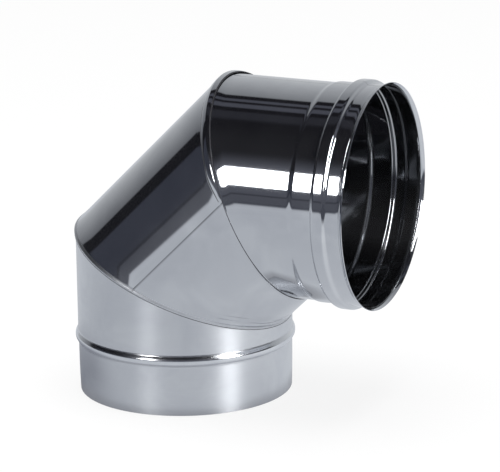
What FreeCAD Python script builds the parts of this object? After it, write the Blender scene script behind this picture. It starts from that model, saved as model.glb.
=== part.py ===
import FreeCAD, Part
import math
import os

# Driving dimensions of the elbow, in millimetres and degrees.
turn_angle = 90.0            # the whole turn, shared by two mitres
tube_radius = 100.0          # outside of the plain tube of all three gores
sheet = 0.6                  # stainless sheet that they are rolled from
throat_radius = 47.8         # of the inside of the bend
throat_straight = 15.0       # plain tube between the stop bead and the mitre, at the throat

# The spigot, which goes into the socket of the next piece.
spigot_length = 47.0         # plain wall, from the open end to the foot of the stop bead
spigot_reduction = 0.5       # how much its radius is less than the tube's
stop_bead_height = 2.4       # of the bead's crest over the plain tube
stop_bead_half_width = 5.0
stop_bead_chords = 4         # straight facets that its round section is made of

# The socket, rolled out of the open end of the upper gore.
seat_clearance = 1.2         # between the spigot of the next piece and the seat around it
socket_end_clearance = 2.0   # between that spigot's end and the step behind the seat
seat_joggle = 3.0            # length of the step from the tube up to the seat
seal_groove_depth = 4.1      # of the groove that takes a seal, over the seat
seal_groove_width = 10.0     # of the groove's flat bottom
seal_groove_flank = 2.5
lip_drop = 3.3               # from the seal groove down to the plain lip in front of it
lip_length = 11.5
mouth_flare_length = 4.5     # of the open end, which is flared to guide the spigot in
mouth_flare_rise = 2.4

# The lock seams: half-round rolls of the middle gore that close over the end gores' flanges.
roll_radius = 5.5
roll_chords = 4              # straight facets that its half-round section is made of
lower_roll_proud = 1.4       # of the lower roll's crest over the tube, at the bend's outside
upper_roll_proud = 3.0       # and of the upper roll's crest there
roll_proud_at_side = 1.4
roll_proud_at_throat = 1.4   # and on the inside of the bend
flange_clearance = 0.35      # between an end gore's flange and the roll around it

# Worked out from the dimensions above.
mitre_angle = turn_angle / 4.0
slope = math.tan(math.radians(mitre_angle))
mitre_stretch = 1.0 / math.cos(math.radians(mitre_angle))
stop_bead_position = spigot_length + stop_bead_half_width
leg_length = stop_bead_position + stop_bead_half_width + throat_straight + tube_radius * slope
gore_length = 2.0 * (tube_radius + throat_radius) * slope
spigot_radius = tube_radius - spigot_reduction
seat_radius = spigot_radius + seat_clearance + sheet
groove_radius = seat_radius + seal_groove_depth
lip_radius = groove_radius - lip_drop
overrun = tube_radius * slope + 3.0 * roll_radius

ORIGIN = FreeCAD.Vector(0, 0, 0)
UP = FreeCAD.Vector(0, 0, 1)
SIDE = FreeCAD.Vector(0, 1, 0)


def towards(angle):
    """Direction in the plane of the bend, turned from straight up towards +X."""
    turned = math.radians(angle)
    return FreeCAD.Vector(math.sin(turned), 0, math.cos(turned))


lower_turn = mitre_angle
upper_turn = turn_angle - mitre_angle
lower_corner = UP * leg_length
upper_corner = lower_corner + towards(turn_angle / 2.0) * gore_length
lower_seam = (lower_corner, lower_turn, lower_roll_proud)
upper_seam = (upper_corner, upper_turn, upper_roll_proud)


def placed(shape, origin, angle):
    """Carry a shape built around +Z so that +Z points along the given turn, from origin."""
    shape.rotate(ORIGIN, SIDE, angle)
    shape.translate(origin)
    return shape


def arc_heights(half_width, height, chords):
    """Places and heights along a shallow arc of the given width and rise, foot to foot."""
    bend = (half_width ** 2 + height ** 2) / (2.0 * height)
    half_turn = math.asin(half_width / bend)
    turns = [half_turn * (2.0 * step / chords - 1.0) for step in range(chords + 1)]
    return [(bend * math.sin(turn), bend * math.cos(turn) - bend + height) for turn in turns]


def rolled_tube(stations):
    """A tube of sheet around +Z, from its outside radius at each place along it."""
    corners = [FreeCAD.Vector(radius, place, 0) for place, radius in stations]
    outside = Part.makePolygon(corners)
    strip = outside.makeOffset2D(-sheet, join=2, fill=True, openResult=True)
    strip.rotate(ORIGIN, FreeCAD.Vector(1, 0, 0), 90)
    return strip.revolve(ORIGIN, UP, 360)


def bar(origin, angle, radius, back, ahead):
    """A solid round bar along one leg of the bend, from behind its origin to ahead of it."""
    solid = Part.makeCylinder(radius, back + ahead, UP * -back, UP)
    return placed(solid, origin, angle)


def beyond(corner, angle):
    """The half of space on the far side of the mitre plane through a corner."""
    span = 8.0 * (leg_length + gore_length)
    half = Part.makeBox(span, span, span, FreeCAD.Vector(-span / 2.0, -span / 2.0, 0))
    return placed(half, corner, angle)


def seam_ellipse(seam, spread, ahead):
    """The ellipse in which the mitre plane cuts the tube, sunk to the centre of the roll
    around it, then moved outwards by spread and along the tube by ahead."""
    corner, angle, proud = seam
    heel = tube_radius * mitre_stretch + proud - roll_radius
    throat = tube_radius * mitre_stretch + roll_proud_at_throat - roll_radius
    across = tube_radius + roll_proud_at_side - roll_radius + spread
    along = (heel + throat) / 2.0 + spread
    to_throat = towards(angle + 90.0)
    centre = corner + to_throat * ((throat - heel) / 2.0) + towards(angle) * ahead
    ellipse = Part.Ellipse(centre + to_throat * along, centre + SIDE * across, centre)
    return Part.Wire(ellipse.toShape())


def seam_barrel(seam, radius):
    """A solid barrel over a lock seam, whose bulging side has a half-round section."""
    rings = []
    for step in range(roll_chords + 1):
        turn = math.pi * (step / roll_chords - 0.5)
        rings.append(seam_ellipse(seam, radius * math.cos(turn), radius * math.sin(turn)))
    return Part.makeLoft(rings, True, True)


def seam_flange(seam, away):
    """The rim of an end gore, turned outwards along the mitre. The roll closes over it."""
    rim = Part.Face(seam_ellipse(seam, roll_radius - sheet - flange_clearance, 0.0))
    return rim.extrude(towards(seam[1]) * (away * sheet))


def seam_roll(seam):
    """The half-round of sheet over a lock seam, still with the room for the tubes to cut."""
    return seam_barrel(seam, roll_radius).cut(seam_barrel(seam, roll_radius - sheet))


def make_spigot_gore():
    """The lower gore: spigot, stop bead, and plain tube up to the lower mitre."""
    bead = arc_heights(stop_bead_half_width, stop_bead_height, stop_bead_chords)
    stations = [(0.0, spigot_radius), (spigot_length, spigot_radius)]
    stations += [(stop_bead_position + place, tube_radius + height) for place, height in bead[1:]]
    stations += [(leg_length + overrun, tube_radius)]
    tube = rolled_tube(stations)
    core = bar(ORIGIN, 0.0, tube_radius - sheet / 2.0, 0.0, leg_length + overrun)
    flange = seam_flange(lower_seam, -1.0).cut(core)
    return tube.cut(beyond(lower_corner, lower_turn)).fuse(flange)


def make_socket_gore():
    """The upper gore: plain tube from the upper mitre, then the socket rolled out of it,
    with its seat, seal groove, lip and flared mouth."""
    flare_start = leg_length - mouth_flare_length
    lip_start = flare_start - lip_length
    groove_end = lip_start - seal_groove_flank
    groove_start = groove_end - seal_groove_width
    seat_start = leg_length - spigot_length - socket_end_clearance
    tube = rolled_tube([
        (-overrun, tube_radius),
        (seat_start - seat_joggle, tube_radius),
        (seat_start, seat_radius),
        (groove_start - seal_groove_flank, seat_radius),
        (groove_start, groove_radius),
        (groove_end, groove_radius),
        (lip_start, lip_radius),
        (flare_start, lip_radius),
        (leg_length, lip_radius + mouth_flare_rise),
    ])
    tube = placed(tube, upper_corner, turn_angle)
    core = bar(upper_corner, turn_angle, tube_radius - sheet / 2.0, overrun, leg_length)
    flange = seam_flange(upper_seam, 1.0).cut(core)
    return tube.common(beyond(upper_corner, upper_turn)).fuse(flange)


def make_middle_gore():
    """The middle gore: plain tube between the mitres, with a roll around each end that laps
    the end gore there and seats on its outside."""
    lean = turn_angle / 2.0
    start = lower_corner - towards(lean) * overrun
    length = gore_length + 2.0 * overrun
    before = beyond(lower_corner, lower_turn + 180.0)
    after = beyond(upper_corner, upper_turn)
    gore = bar(start, lean, tube_radius, 0.0, length).cut(before).cut(after)
    gore = gore.cut(bar(start, lean, tube_radius - sheet, 0.0, length))
    core = bar(start, lean, tube_radius - sheet / 2.0, 0.0, length).cut(before).cut(after)
    lower_leg = bar(ORIGIN, 0.0, tube_radius, 0.0, leg_length + overrun)
    upper_leg = bar(upper_corner, turn_angle, tube_radius, overrun, leg_length)
    lower_roll = seam_roll(lower_seam).cut(lower_leg.common(before)).cut(core)
    upper_roll = seam_roll(upper_seam).cut(upper_leg.common(after)).cut(core)
    return gore.fuse(lower_roll).fuse(upper_roll)


nodes = {
    "spigot_gore": make_spigot_gore,
    "middle_gore": make_middle_gore,
    "socket_gore": make_socket_gore,
}

os.makedirs("parts", exist_ok=True)
for name, make in nodes.items():
    make().exportStep("parts/" + name + ".step")
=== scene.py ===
import math
import bpy
import numpy as np
from mathutils import Matrix, Vector


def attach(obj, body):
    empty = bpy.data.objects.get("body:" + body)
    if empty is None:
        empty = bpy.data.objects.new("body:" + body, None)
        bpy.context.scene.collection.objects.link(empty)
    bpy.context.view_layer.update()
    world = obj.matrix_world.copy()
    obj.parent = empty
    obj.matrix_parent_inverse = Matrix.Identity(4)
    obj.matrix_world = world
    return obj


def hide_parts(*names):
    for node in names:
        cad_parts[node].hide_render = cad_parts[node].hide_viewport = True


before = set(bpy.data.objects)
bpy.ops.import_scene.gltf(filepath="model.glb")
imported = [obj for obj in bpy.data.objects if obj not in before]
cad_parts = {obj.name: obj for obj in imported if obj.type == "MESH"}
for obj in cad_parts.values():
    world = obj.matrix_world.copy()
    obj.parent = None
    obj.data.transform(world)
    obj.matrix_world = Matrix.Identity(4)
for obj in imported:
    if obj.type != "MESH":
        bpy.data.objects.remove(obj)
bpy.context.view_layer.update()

# The spigot gore: the lower length of the elbow, a tube rolled from 0.6 mm stainless sheet.
# Its open end is drawn in a little so that it slides into the next pipe's socket, a stop
# bead is rolled above it, and its mitred top is turned outwards to hook into the lock seam.
sheet = 0.0006
tube_radius = 0.1
leg_length = 0.11342
mitre_angle = 22.5
mitre = math.radians(mitre_angle)
squared_off = 0.006
turn_step = np.linspace(0.0, 2.0 * math.pi, 320, endpoint=False)
to_throat = np.cos(turn_step)
to_side = np.sin(turn_step)
heelness = np.clip(-to_throat, 0.0, 1.0)
SIDE = np.array([0.0, 1.0, 0.0])


def lean(degrees):
    """Along and throat directions of a leg that leans from straight up towards +X."""
    turned = math.radians(degrees)
    return (np.array([math.sin(turned), 0.0, math.cos(turned)]),
            np.array([math.cos(turned), 0.0, -math.sin(turned)]))


def hoop(foot, degrees, reach, radius):
    """One ring of points round a leg, at a reach along it and a radius from its axis."""
    along, throat = lean(degrees)
    reach = np.zeros_like(turn_step) + reach
    radius = np.zeros_like(turn_step) + radius
    spoke = np.outer(to_throat, throat) + np.outer(to_side, SIDE)
    return foot + np.outer(reach, along) + spoke * radius[:, None]


def soft_step(share):
    """From 0 to 1 with no corner at either end."""
    return share * share * (3.0 - 2.0 * share)


def mitred_hoop(gore_end, away, height):
    """A ring parallel to a mitre, away from it along the leg, and at a height over the
    tube that is measured in the mitre's plane close to it and squarely further off. A gore's
    end is its foot, its lean, how far up its axis the mitre is, the way that the end faces,
    which is 1 for up and -1 for down, and the lean of the mitre."""
    foot, degrees, middle, facing, mitre_lean = gore_end
    throat = lean(degrees)[1]
    spoke = np.outer(to_throat, throat) + np.outer(to_side, SIDE)
    in_plane = np.outer(to_throat * math.cos(mitre), lean(mitre_lean)[1]) + np.outer(to_side, SIDE)
    in_plane /= np.linalg.norm(in_plane, axis=1)[:, None]
    away = np.zeros_like(turn_step) + away
    height = np.zeros_like(turn_step) + height
    lift = in_plane + (spoke - in_plane) * soft_step(np.clip(away / squared_off, 0.0, 1.0))[:, None]
    lift /= np.linalg.norm(lift, axis=1)[:, None]
    reach = middle - facing * tube_radius * to_throat * math.tan(mitre) - facing * away
    return hoop(foot, degrees, reach, tube_radius) + lift * height[:, None]


def swaged(corners):
    """The outline that the rolls press into a tube: a place and radius at each corner, which
    is rounded over the given length, with the straight runs held flat up to the bends."""
    held_flat = 0.0004
    longest_step = 0.004
    places = [np.array(corner[:2]) for corner in corners]
    outline = [places[0]]
    for before, corner, after, given in zip(places, places[1:], places[2:], corners[1:]):
        back = (before - corner) / np.linalg.norm(before - corner) * given[2]
        onward = (after - corner) / np.linalg.norm(after - corner) * given[2]
        for share in np.linspace(0.0, 1.0, 7):
            outline.append(corner + back * (1.0 - share) ** 2 + onward * share ** 2)
    outline.append(places[-1])
    finished = [outline[0]]
    for start, end in zip(outline, outline[1:]):
        length = np.linalg.norm(end - start)
        if length > 4.0 * held_flat:
            steps = max(2, int(length / longest_step))
            flat_end = held_flat / length
            shares = [flat_end, *np.linspace(0.0, 1.0, steps + 1)[1:-1], 1.0 - flat_end]
            finished += [start + (end - start) * share for share in sorted(shares)]
        finished.append(end)
    return finished


def rolled_sheet(name, degrees, outside, lapped=(0, 0), bright_rim=0, crease=(0, 0)):
    """A closed skin of sheet thickness under a run of rings, with its cut edges left sharp.
    The object's own Z is the gore's axis. The inside gets the second material, a copy that the
    callers darken as painted shade, but for the bright rim's rings at the far end, which keep the
    first. Lapped counts the rings next to the near and far edges that lie in the shadow of a lap,
    and get the third, a painted shadow, as does the crease between two rings on the heel's side."""
    inside_finish_and_shade, shadow_finish = 1, 2
    outside = np.array(outside)
    rings, points = outside.shape[:2]
    round_it = np.roll(outside, -1, axis=1) - np.roll(outside, 1, axis=1)
    along_it = np.gradient(outside, axis=0)
    out = np.cross(round_it, along_it)
    out /= np.linalg.norm(out, axis=2)[:, :, None]
    middle = outside.mean(axis=1)[:, None, :]
    if np.sum(out * (outside - middle)) < 0:
        out = -out
    skin = np.concatenate([outside, (outside - out * sheet)[::-1]])
    column = np.arange(points)
    onward = np.roll(column, -1)
    faces = []
    for ring in range(2 * rings):
        here, there = ring * points, (ring + 1) % (2 * rings) * points
        faces.append(np.stack([here + column, here + onward, there + onward, there + column], -1))
    faces = np.concatenate(faces)
    mesh = bpy.data.meshes.new(name)
    turned = Matrix.Rotation(math.radians(degrees), 4, "Y")
    flat = skin.reshape(-1, 3) @ np.array(turned.to_3x3())
    mesh.from_pydata(flat.tolist(), [], faces.tolist())
    mesh.validate()
    corners = flat[faces]
    volume = np.einsum("ij,ij->i", corners[:, 0], np.cross(corners[:, 1], corners[:, 2])).sum()
    if volume < 0:
        mesh.flip_normals()
    mesh.polygons.foreach_set("use_smooth", [True] * len(mesh.polygons))
    cut_rings = {0, rings - 1, rings, 2 * rings - 1}
    sharp = []
    for edge in mesh.edges:
        first, second = (vertex // points for vertex in edge.vertices)
        sharp.append(first == second and first in cut_rings)
    mesh.edges.foreach_set("use_edge_sharp", sharp)
    finish = np.zeros(2 * rings, dtype=int)
    # The inside, past the bright rim, gets the copy darkened as painted shade.
    finish[rings + bright_rim:-1] = inside_finish_and_shade
    # The rows at the laps' edges get the painted shadow.
    if any(lapped):
        finish[:lapped[0]] = shadow_finish
        finish[rings - 1 - lapped[1]:rings] = shadow_finish
        finish[-1] = shadow_finish
    finish = np.repeat(finish, points).reshape(-1, points)
    # The crease's rows on the heel's side get the painted shadow too.
    finish[crease[0]:crease[1], heelness > 0.12] = shadow_finish
    mesh.polygons.foreach_set("material_index", finish.ravel())
    mesh.update()
    piece = bpy.data.objects.new(name, mesh)
    piece.matrix_world = turned
    bpy.context.scene.collection.objects.link(piece)
    return piece


class Wire:
    """A value, colour or vector on its way through a material's nodes. Sums on values add
    the Math nodes that they need."""

    def __init__(self, tree, socket=None):
        self.tree = tree
        self.socket = socket

    def node(self, kind, settings, sockets, take=0):
        """Adds a node with its settings, then fills its sockets with values or links."""
        made = self.tree.nodes.new(kind)
        for key, value in settings.items():
            setattr(made, key, value)
        for key, value in sockets.items():
            if isinstance(value, Wire):
                self.tree.links.new(value.socket, made.inputs[key])
            else:
                made.inputs[key].default_value = value
        return Wire(self.tree, made.outputs[take] if len(made.outputs) else None)

    def mix(self, base, over):
        """A colour that goes from base at 0 to over at 1."""
        return self.node("ShaderNodeMix", {"data_type": "RGBA"},
                         {0: self, 6: base, 7: over}, take=2)

    def part(self, letter):
        """The X, Y or Z of a vector."""
        return self.node("ShaderNodeSeparateXYZ", {}, {0: self}, take=letter)

    def maths(self, operation, first, second):
        return self.node("ShaderNodeMath", {"operation": operation}, {0: first, 1: second})

    def __add__(self, other):
        return self.maths("ADD", self, other)

    __radd__ = __add__

    def __sub__(self, other):
        return self.maths("SUBTRACT", self, other)

    def __rsub__(self, other):
        return self.maths("SUBTRACT", other, self)

    def __neg__(self):
        return self.maths("SUBTRACT", 0.0, self)

    def __mul__(self, other):
        return self.maths("MULTIPLY", self, other)

    __rmul__ = __mul__

    def __abs__(self):
        return self.maths("ABSOLUTE", self, 0.0)

    def larger(self, other):
        return self.maths("MAXIMUM", self, other)

    def smaller(self, other):
        return self.maths("MINIMUM", self, other)

    def eased(self, low, high):
        """0 below low and 1 above high, with a soft step between."""
        return self.node("ShaderNodeMapRange", {"interpolation_type": "SMOOTHSTEP"},
                         {"Value": self, "From Min": low, "From Max": high})

    def faded(self, low, high):
        """1 below low and 0 above high, with a soft step between."""
        return 1.0 - self.eased(low, high)


def blank(holder):
    """Empties a material's or a world's nodes, and gives the wire that new ones start from."""
    holder.use_nodes = True
    holder.node_tree.nodes.clear()
    return Wire(holder.node_tree)


def stainless(name, axis_at, weld_turn, haze, roughness, shade=1.0, burnished=None, seam_at=None):
    """Bright stainless sheet, rolled into a tube and welded along one line. Most of it mirrors,
    and the share called haze scatters light across the mill lines, which run round the tube.
    The finish differs a little from patch to patch, and rolling has left the sheet very
    slightly wavy. Burnished is the stretch of tube that the rolls have rubbed bright, and
    seam_at the place on the axis of a lock seam that has pressed and puckered the sheet. Shade
    scales the colour: below 1 it is painted shade, as on the insides of the tubes, and above 1
    painted light."""
    weld_width = (0.0002, 0.0012)
    wave_height, weld_height, pucker_height = 0.00003, 0.00012, 0.0006
    steel = bpy.data.materials.new(name)
    bare = blank(steel)
    local = bare.node("ShaderNodeTexCoord", {}, {}, take="Object")
    place = bare.node("ShaderNodeMapping", {}, {"Vector": local, "Location": (-axis_at, 0.0, 0.0)})
    throat_way, side_way, along_way = place.part("X"), place.part("Y"), place.part("Z")

    weld_cos, weld_sin = math.cos(math.radians(weld_turn)), math.sin(math.radians(weld_turn))
    from_weld = abs(side_way * weld_cos - throat_way * weld_sin)
    weld_half = (throat_way * weld_cos + side_way * weld_sin).eased(0.0, 0.01)
    weld = from_weld.faded(*weld_width) * weld_half

    rolled = bare.node("ShaderNodeMapping", {}, {"Vector": place, "Scale": (1.0, 1.0, 0.18)})
    waves = bare.node("ShaderNodeTexNoise", {}, {"Vector": rolled, "Scale": 26.0, "Detail": 1.0})
    milled = bare.node("ShaderNodeMapping", {}, {"Vector": place, "Scale": (12.0, 12.0, 1100.0)})
    mill_lines = bare.node("ShaderNodeTexNoise", {}, {"Vector": milled, "Scale": 1.0,
                                                      "Detail": 3.0})
    patches = bare.node("ShaderNodeTexNoise", {}, {"Vector": place, "Scale": 20.0, "Detail": 3.0,
                                                   "Distortion": 0.5})
    clouds = patches.eased(0.3, 0.7) * 0.9 + mill_lines * 0.1
    tone = clouds.mix((0.565 * shade, 0.58 * shade, 0.61 * shade, 1.0),
                      (0.645 * shade, 0.66 * shade, 0.685 * shade, 1.0))
    tone = (weld * 0.5).mix(tone, (0.33, 0.34, 0.36, 1.0))

    relief_height = waves * wave_height + weld * weld_height
    mirror_roughness = roughness + patches.eased(0.5, 0.8) * 0.02
    if seam_at is not None:
        from_seam = along_way - seam_at - throat_way * math.tan(mitre)
        near_seam = bare.node("ShaderNodeCombineXYZ", {}, {0: throat_way * 16.0, 1: side_way * 16.0,
                                                           2: from_seam * 230.0})
        puckers = bare.node("ShaderNodeTexNoise", {}, {"Vector": near_seam, "Scale": 1.0,
                                                       "Detail": 1.0})
        puckered = throat_way.eased(0.045, 0.085) * from_seam.eased(0.001, 0.004)
        puckered = puckered * from_seam.faded(0.006, 0.019)
        relief_height = relief_height + puckers.eased(0.42, 0.62) * puckered * pucker_height
        mirror_roughness = mirror_roughness + abs(from_seam).faded(0.0025, 0.0045) * 0.3
    share = haze + (patches - 0.5) * (haze * 0.5) + (mill_lines - 0.5) * (haze * 0.05)
    if burnished is not None:
        start, end = burnished
        from_bead = abs(along_way - (start + end) / 2.0)
        half_length = (end - start) / 2.0
        share = share * (from_bead.eased(half_length, half_length + 0.0012) * 0.85 + 0.15)

    relief = bare.node("ShaderNodeBump", {}, {"Strength": 1.0, "Distance": 1.0,
                                              "Height": relief_height})
    mirror = bare.node("ShaderNodeBsdfPrincipled", {},
                       {"Base Color": tone, "Metallic": 1.0, "Normal": relief,
                        "Roughness": mirror_roughness})
    grain = bare.node("ShaderNodeBsdfPrincipled", {},
                      {"Base Color": tone, "Metallic": 1.0, "Normal": relief, "Anisotropic": 0.9,
                       "Anisotropic Rotation": 0.25, "Roughness": 0.4 + patches * 0.06})
    both = bare.node("ShaderNodeMixShader", {}, {0: share, 1: mirror, 2: grain})
    bare.node("ShaderNodeOutputMaterial", {}, {"Surface": both})
    return steel


elbow_foot = np.array([0.0, 0.0, 0.0])
spigot_top = (elbow_foot, 0.0, leg_length, 1.0, mitre_angle)
drawn_in, drawn_length = 0.0008, 0.04
bead_end = 0.061
outside = []
for place, radius in swaged([(0.0, 0.0995, 0), (0.0465, 0.0995, 0.0012),
                             (0.0486, 0.1012, 0.0011), (0.0505, 0.1024, 0.0009),
                             (0.0535, 0.1024, 0.0009), (0.0554, 0.1014, 0.0011),
                             (0.0575, tube_radius, 0.0012), (bead_end, tube_radius, 0)]):
    radius -= drawn_in * max(0.0, 1.0 - place / drawn_length) ** 2
    outside.append(hoop(elbow_foot, 0.0, place, radius))
lower_flare_length = 0.009
lower_flare = 0.0002 + 0.0003 * heelness
lower_hook = 0.0003 + 0.0001 * heelness
hook_start, hook_depth = 0.0022, 0.00155
top_reach = leg_length - tube_radius * to_throat * math.tan(mitre) - lower_flare_length
for share in np.linspace(0.0, 1.0, 14)[1:-1]:
    outside.append(hoop(elbow_foot, 0.0, bead_end + (top_reach - bead_end) * share, tube_radius))
for away in np.linspace(lower_flare_length, hook_start, 9):
    flare = lower_flare * (1.0 - away / lower_flare_length) ** 2
    outside.append(mitred_hoop(spigot_top, away, flare))
for turned in np.linspace(0.0, math.pi / 2.0, 7)[1:]:
    hook = lower_flare + (lower_hook - lower_flare) * (1.0 - math.cos(turned))
    outside.append(mitred_hoop(spigot_top, hook_start - hook_depth * math.sin(turned), hook))
spigot_gore = rolled_sheet("spigot_gore_sheet", 0.0, outside)
spigot_weld = 150.0
stop_bead = (0.0488, 0.0562)
# The outside's colour is raised by 1.17 over the other gores: painted light that brightens its
# reflections.
spigot_gore.data.materials.append(
    stainless("satin_stainless", 0.0, spigot_weld, 0.42, 0.15, 1.17, burnished=stop_bead))
# The inside is a copy with a slightly different finish and its colour darkened to 0.6: painted
# shade inside the tube.
spigot_gore.data.materials.append(
    stainless("satin_stainless_inside", 0.0, spigot_weld, 0.3, 0.2, 0.6))
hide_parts("spigot_gore")
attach(spigot_gore, "root")

# The middle gore: a slanted length of the same sheet between the two mitres. Both its ends
# are rolled over the hooked rims of the gores beside it and pressed down as lock seams,
# which stand proud round the outside of the bend and lie almost flat on the inside.
gore_length = 0.12244
middle_lean, socket_lean = 2.0 * mitre_angle, 4.0 * mitre_angle
middle_along, middle_throat = lean(middle_lean)
lower_corner = np.array([0.0, 0.0, leg_length])
upper_corner = lower_corner + middle_along * gore_length
middle_foot = (lower_corner, middle_lean, 0.0, -1.0, mitre_angle)
middle_top = (lower_corner, middle_lean, gore_length, 1.0, 3.0 * mitre_angle)
socket_foot = (upper_corner, socket_lean, 0.0, -1.0, 3.0 * mitre_angle)
blend_in = heelness ** 1.2
widened = soft_step(np.clip((heelness - 0.02) / 0.36, 0.0, 1.0))
upper_flare_length = 0.013
upper_flare = 0.0006 + 0.001 * heelness ** 0.7
lower_rise = 0.0003 + 0.0003 * heelness
upper_rise = 0.0005 + 0.0014 * heelness
lower_crest = 0.0009 + 0.0004 * blend_in
lower_reach = 0.0014 + 0.0012 * blend_in
upper_crest = 0.001 + 0.001 * blend_in + 0.001 * widened
upper_reach = 0.0014 + 0.0036 * blend_in
upper_back = 0.0014 + 0.0058 * widened


def seam_side(gore_end, crest, reach, toe, count):
    """Rings over one side of a lock seam, from the crest out to its toe."""
    made = []
    for share in np.linspace(0.0, 1.0, count):
        height = toe + (crest - toe) * np.sqrt(1.0 - (0.97 * share) ** 2)
        made.append(mitred_hoop(gore_end, reach * share, height))
    return made


def seam_foot(gore_end, crest, reach, rise):
    """Rings from the crest of a lock seam down its own gore, through a fillet to the tube,
    which is left flaring up to the seam."""
    flare, flare_length = 0.0004, 0.014
    fillet, fillet_end = 0.00012, 1.7
    made = []
    for share in np.linspace(0.0, fillet_end, 22)[1:]:
        away = reach * share
        ground = rise + flare * (1.0 - away / flare_length) ** 2
        arch = (crest - ground) * np.sqrt(max(0.0, 1.0 - share ** 2))
        settled = fillet * math.exp(-share * 2.0) * (1.0 if share > 0.98 else share)
        made.append(mitred_hoop(gore_end, away, ground + arch + settled))
    for share in np.linspace(0.0, 1.0, 8)[1:]:
        away = reach * fillet_end + (flare_length - reach * fillet_end) * share
        made.append(mitred_hoop(gore_end, away, rise + flare * (1.0 - away / flare_length) ** 2))
    return made


lap = sheet + 0.00004
lower_toe = lap + lower_flare * (1.0 - lower_reach / lower_flare_length) ** 2
upper_toe = lap + upper_flare * (1.0 - upper_reach / upper_flare_length) ** 2
lower_over = seam_side(spigot_top, lower_crest, lower_reach, lower_toe, 12)
upper_over = seam_side(socket_foot, upper_crest, upper_reach, upper_toe, 14)
lower_down = seam_foot(middle_foot, lower_crest, lower_reach, lower_rise)
upper_down = seam_foot(middle_top, upper_crest, upper_back, upper_rise)
between = [lower_down[-1] + (upper_down[-1] - lower_down[-1]) * share
           for share in np.linspace(0.0, 1.0, 24)[1:-1]]
middle_rings = lower_over[::-1] + lower_down + between + upper_down[::-1] + upper_over
upper_foot = len(middle_rings) - len(upper_over) - 1
# Lapped and crease pick the rows that get the third material, the painted shadow.
middle_gore = rolled_sheet("middle_gore_sheet", middle_lean, middle_rings, lapped=(5, 3),
                           crease=(upper_foot - 12, upper_foot - 9))
middle_axis = float(lower_corner @ middle_throat)
middle_weld = -94.7
middle_gore.data.materials.append(
    stainless("mirror_stainless", middle_axis, middle_weld, 0.05, 0.05,
              seam_at=float(lower_corner @ middle_along)))
# The inside is a copy with its colour darkened to 0.6: painted shade inside the tube.
middle_gore.data.materials.append(
    stainless("mirror_stainless_inside", middle_axis, middle_weld, 0.05, 0.08, 0.6))
# The lap shadow line: a painted shadow, a near-black material mottled a little, that paints the
# shade at the laps' cut edges and in the crease at the foot of the upper seam.
shadow_line = bpy.data.materials.new("lap_shadow_line")
bare = blank(shadow_line)
spot = bare.node("ShaderNodeTexCoord", {}, {}, take="Object")
shadow_mottle = bare.node("ShaderNodeTexNoise", {}, {"Vector": spot, "Scale": 160.0, "Detail": 2.0})
shadow_tone = shadow_mottle.mix((0.02, 0.02, 0.024, 1.0), (0.09, 0.09, 0.1, 1.0))
painted_shadow_surface = bare.node("ShaderNodeBsdfPrincipled", {}, {"Base Color": shadow_tone, "Metallic": 0.7,
                                                  "Roughness": 0.35 + shadow_mottle * 0.3})
bare.node("ShaderNodeOutputMaterial", {}, {"Surface": painted_shadow_surface})
middle_gore.data.materials.append(shadow_line)
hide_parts("middle_gore")
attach(middle_gore, "root")

# The socket gore: the upper length, whose open end is rolled out in steps to make the socket:
# a plain seat for the next spigot, a raised groove for a seal, a lip, and a flared mouth. Its
# other end is turned outwards on the mitre and hooks into the upper lock seam.
outside = []
upper_hook = 0.0003 + 0.0017 * blend_in
for turned in np.linspace(0.0, math.pi / 2.0, 7)[::-1][:-1]:
    hook = upper_flare + (upper_hook - upper_flare) * (1.0 - math.cos(turned))
    outside.append(mitred_hoop(socket_foot, hook_start - hook_depth * math.sin(turned),
                               np.maximum(hook, 0.0)))
for away in np.linspace(hook_start, upper_flare_length, 14):
    flare = upper_flare * (1.0 - away / upper_flare_length) ** 2
    outside.append(mitred_hoop(socket_foot, away, flare))
mouth = 0.2 - upper_corner[0]
tube_end = -0.058
flare_start = -0.0035
start_reach = tube_radius * to_throat * math.tan(mitre) + upper_flare_length
for share in np.linspace(0.0, 1.0, 12)[1:]:
    reach = start_reach + (mouth + tube_end - start_reach) * share
    outside.append(hoop(upper_corner, socket_lean, reach, tube_radius))
seat, groove, lip = 0.1013, 0.1054, 0.1021
socket_outline = swaged([(tube_end, tube_radius, 0), (-0.0534, tube_radius, 0.0016),
                         (-0.0498, seat, 0.0014), (-0.0312, seat, 0.0004),
                         (-0.029, groove, 0.002), (-0.0186, groove, 0.0016),
                         (-0.0163, lip, 0.0016), (-0.005, lip, 0.0018),
                         (-0.0022, 0.1026, 0.0012), (0.0, 0.1045, 0)])
for place, radius in socket_outline[1:]:
    outside.append(hoop(upper_corner, socket_lean, mouth + place, radius))
flare_rings = 1 + sum(place >= flare_start for place, radius in socket_outline)
socket_gore = rolled_sheet("socket_gore_sheet", socket_lean, outside, bright_rim=flare_rings)
socket_axis = float(upper_corner @ lean(socket_lean)[1])
socket_weld = 177.0
socket_gore.data.materials.append(
    stainless("mirror_stainless_level", socket_axis, socket_weld, 0.018, 0.06))
# The inside is a copy with its colour darkened to 0.6: painted shade inside the tube.
socket_gore.data.materials.append(
    stainless("mirror_stainless_level_inside", socket_axis, socket_weld, 0.04, 0.08, 0.6))
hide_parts("socket_gore")
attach(socket_gore, "root")

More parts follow.
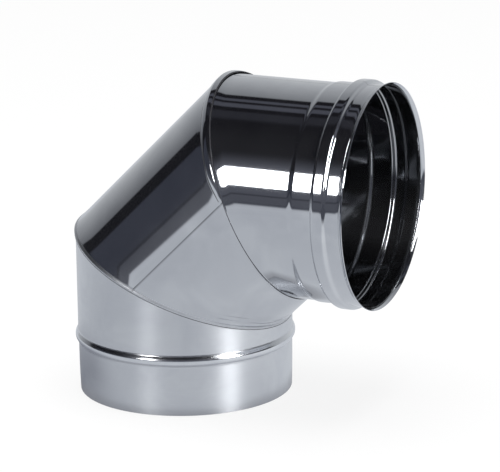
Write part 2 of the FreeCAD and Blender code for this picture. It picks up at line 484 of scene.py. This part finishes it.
# The table: a pale floor, which the camera sees as white with the elbow's soft shadow on it.
# The mirror finish sees it as a glow with light and shade painted in: mottled grey, a painted
# pool of light at the right, painted shade on the left and round the elbow's foot, painted near
# black under the elbow, and dark where the table ends in front and at the right.
bpy.ops.mesh.primitive_plane_add(size=9.0, location=(0.0, 0.0, -0.0003))
floor = bpy.context.object
floor.name = "floor"
paper = bpy.data.materials.new("white_paper_sweep")
bare = blank(paper)
white = (1.0, 1.0, 1.0, 1.0)
camera_ray = bare.node("ShaderNodeLightPath", {}, {}, take="Is Camera Ray")
glossy_ray = bare.node("ShaderNodeLightPath", {}, {}, take="Is Glossy Ray")
through_ray = bare.node("ShaderNodeLightPath", {}, {}, take="Is Transmission Ray")
seen = (camera_ray + glossy_ray + through_ray).smaller(1.0)
spot = bare.node("ShaderNodeTexCoord", {}, {}, take="Object")
to_right, to_back = spot.part("X"), spot.part("Y")
mottle = bare.node("ShaderNodeTexNoise", {}, {"Vector": spot, "Scale": 2.5, "Detail": 1.0})
from_pool = bare.node("ShaderNodeVectorMath", {"operation": "DISTANCE"},
                      {0: spot, 1: (0.6, 0.0, 0.0)}, take="Value")
from_shade = bare.node("ShaderNodeVectorMath", {"operation": "DISTANCE"},
                       {0: spot, 1: (-0.14, 0.0, 0.0)}, take="Value")
from_middle = bare.node("ShaderNodeVectorMath", {"operation": "LENGTH"}, {0: spot}, take="Value")
grey = mottle.mix((0.565, 0.59, 0.635, 1.0), (0.69, 0.715, 0.75, 1.0))
# A painted pool of light on the floor at the right.
grey = (from_pool.faded(0.25, 0.6) * 0.8).mix(grey, (0.9, 0.92, 0.95, 1.0))
# Painted shade on the floor to the left of the elbow's foot.
grey = (from_shade.faded(0.03, 0.17) * 0.75).mix(grey, (0.14, 0.15, 0.19, 1.0))
table_end = (-to_back).eased(1.8, 2.9).larger(to_right.eased(0.8, 1.1))
grey = table_end.mix(grey, (0.085, 0.09, 0.11, 1.0))
# Painted shade round the foot, and the floor under the tube painted near black as its shade.
grey = (from_middle.faded(0.1, 0.125) * 0.5).mix(grey, (0.2, 0.2, 0.22, 1.0))
grey = from_middle.eased(0.0975, 0.1).mix((0.012, 0.012, 0.015, 1.0), grey)
tone = camera_ray.mix(grey, white)
glow = bare.node("ShaderNodeEmission", {}, {"Color": tone, "Strength": 1.0})
matt = bare.node("ShaderNodeBsdfDiffuse", {}, {"Color": (0.8, 0.8, 0.8, 1.0)})
lit = camera_ray * 0.85 + (seen - camera_ray)
both = bare.node("ShaderNodeMixShader", {}, {0: lit, 1: matt, 2: glow})
bare.node("ShaderNodeOutputMaterial", {}, {"Surface": both})
floor.data.materials.append(paper)

# The room that only the mirror finish sees, by the way that each reflection looks: dark, with
# slats overhead, a black corner at the back left, a skirting line low down, and a tall pale
# board behind the elbow. The camera sees plain white, and the rest is lit by plain grey.
studio = bpy.data.worlds.new("studio")
bpy.context.scene.world = studio
bare = blank(studio)
camera_ray = bare.node("ShaderNodeLightPath", {}, {}, take="Is Camera Ray")
glossy_ray = bare.node("ShaderNodeLightPath", {}, {}, take="Is Glossy Ray")
facing = bare.node("ShaderNodeTexCoord", {}, {}, take="Generated")
right, behind, height = facing.part("X"), facing.part("Y"), facing.part("Z")
black = (0.0075, 0.0075, 0.0105, 1.0)
dark = height.faded(0.3, 0.36).mix(black, (0.046, 0.05, 0.068, 1.0))
right_side = right.eased(-0.75, -0.35) * height.faded(0.5, 0.72)
dark = (right_side * 0.85).mix(dark, (0.115, 0.12, 0.145, 1.0))
black_corner = (behind + 0.15).eased(0.0, 0.05) * (-right).eased(0.0, 0.2)
dark = black_corner.mix(dark, black)
elsewhere = 1.0 - black_corner
dark = (height.faded(0.06, 0.08) * elsewhere * 0.5).mix(dark, (0.11, 0.115, 0.135, 1.0))
skirting = abs(height - 0.084).faded(0.006, 0.018) * elsewhere
dark = (skirting * 0.55).mix(dark, (0.015, 0.015, 0.02, 1.0))
overhead = (right + 0.8).eased(0.0, 0.2) * height.eased(0.3, 0.5)
near_slat = ((behind - height * 0.395).eased(-0.01, 0.01)
             - (behind - height * 0.475).eased(-0.01, 0.01))
far_slat = ((behind - height * 0.22).eased(-0.015, 0.015)
            - (behind - height * 0.33).eased(-0.015, 0.015))
faint_slat = ((behind + height * 0.06).eased(-0.05, 0.05)
              - (behind - height * 0.12).eased(-0.02, 0.02))
slats = near_slat + far_slat + faint_slat * 0.25
dark = (slats * overhead).mix(dark, (0.085, 0.088, 0.108, 1.0))
on_board = (behind * 1.578 - right * 0.086 - height).eased(-0.025, 0.025)
paling = (behind * 0.5 - height * 0.17 + 0.1).smaller(1.0)
board = paling.mix((0.04, 0.042, 0.056, 1.0), (1.12, 1.15, 1.17, 1.0))
board_end = right.eased(0.72, 0.86) * height.faded(0.5, 0.65)
board = board_end.mix(board, (0.02, 0.02, 0.025, 1.0))
around = on_board.mix(dark, board)
plain = glossy_ray.mix((0.6, 0.6, 0.6, 1.0), around)
view = camera_ray.mix(plain, white)
sky = bare.node("ShaderNodeBackground", {}, {"Color": view, "Strength": 1.0})
bare.node("ShaderNodeOutputWorld", {}, {"Surface": sky})


# The lamps: a soft box each side, which make the white patches on the elbow and light nothing
# else, and one large round lamp overhead that casts its soft shadow and shows in no reflection.
def soft_box(name, bearing, low, high, width, strength):
    """A lit panel with rounded corners that stands facing the elbow. Bearing is from straight
    in front, to the right, and low and high are the elevations of its edges."""
    distance, eye, rounding, corners = 1.5, 0.2, 0.09, 32
    bearing = math.radians(bearing)
    bottom = eye + distance * math.tan(math.radians(low))
    top = eye + distance * math.tan(math.radians(high))
    straight_across, straight_up = width / 2.0 - rounding, (top - bottom) / 2.0 - rounding
    outline = []
    for step in range(corners):
        turn = 2.0 * math.pi * (step + 0.5) / corners
        sideways = math.copysign(straight_across, math.cos(turn)) + rounding * math.cos(turn)
        upwards = math.copysign(straight_up, math.sin(turn)) + rounding * math.sin(turn)
        outline.append((math.sin(bearing) * distance + math.cos(bearing) * sideways,
                        -math.cos(bearing) * distance + math.sin(bearing) * sideways,
                        (top + bottom) / 2.0 + upwards))
    mesh = bpy.data.meshes.new(name)
    mesh.from_pydata(outline, [], [tuple(range(corners))])
    cloth = bpy.data.materials.new(name + "_cloth")
    bare = blank(cloth)
    lamp = bare.node("ShaderNodeEmission", {}, {"Color": white, "Strength": strength})
    bare.node("ShaderNodeOutputMaterial", {}, {"Surface": lamp})
    mesh.materials.append(cloth)
    panel = bpy.data.objects.new(name, mesh)
    bpy.context.scene.collection.objects.link(panel)
    panel.visible_camera = False
    panel.visible_diffuse = False
    panel.visible_shadow = False


soft_box("left_soft_box", -17.0, 13.5, 30.3, 0.44, 8.0)
soft_box("right_soft_box", 72.5, 7.0, 46.0, 0.42, 15.0)
lamp = bpy.data.lights.new("overhead", "AREA")
lamp.shape = "DISK"
lamp.size = 2.0
lamp.energy = 60.0
overhead_lamp = bpy.data.objects.new("overhead", lamp)
overhead_lamp.location = (0.0, 0.0, 2.5)
overhead_lamp.visible_glossy = False
bpy.context.scene.collection.objects.link(overhead_lamp)

# The camera: a long lens well back from the elbow, a little above it and to its right,
# and tilted by a degree, as the photograph was taken. The point that it is aimed by shows
# at the given place in the frame.
frame_width, frame_height = 500.0, 472.0
aim = Vector((0.06, 0.0, 0.1))
aim_across, aim_down = 243.77, 286.79
azimuth = math.radians(23.28)
elevation = math.radians(16.23)
tilt = math.radians(-0.98)
distance = 4.338
focal = 1080.0 * distance
back = Vector((math.sin(azimuth) * math.cos(elevation),
               -math.cos(azimuth) * math.cos(elevation),
               math.sin(elevation)))
level = Vector((math.cos(azimuth), math.sin(azimuth), 0.0))
rise = back.cross(level)
across = level * math.cos(tilt) + rise * math.sin(tilt)
upward = rise * math.cos(tilt) - level * math.sin(tilt)
lens = bpy.data.cameras.new("camera")
lens.sensor_width = 36.0
lens.lens = focal / frame_width * lens.sensor_width
lens.clip_start = 0.1
lens.clip_end = 50.0
camera = bpy.data.objects.new("camera", lens)
bpy.context.scene.collection.objects.link(camera)
turning = Matrix((across, upward, back)).transposed().to_4x4()
stand = (aim + back * distance
         - across * ((aim_across - frame_width / 2.0) / focal * distance)
         + upward * ((aim_down - frame_height / 2.0) / focal * distance))
camera.matrix_world = Matrix.Translation(stand) @ turning
bpy.context.scene.camera = camera
bpy.context.scene.view_settings.view_transform = "Standard"
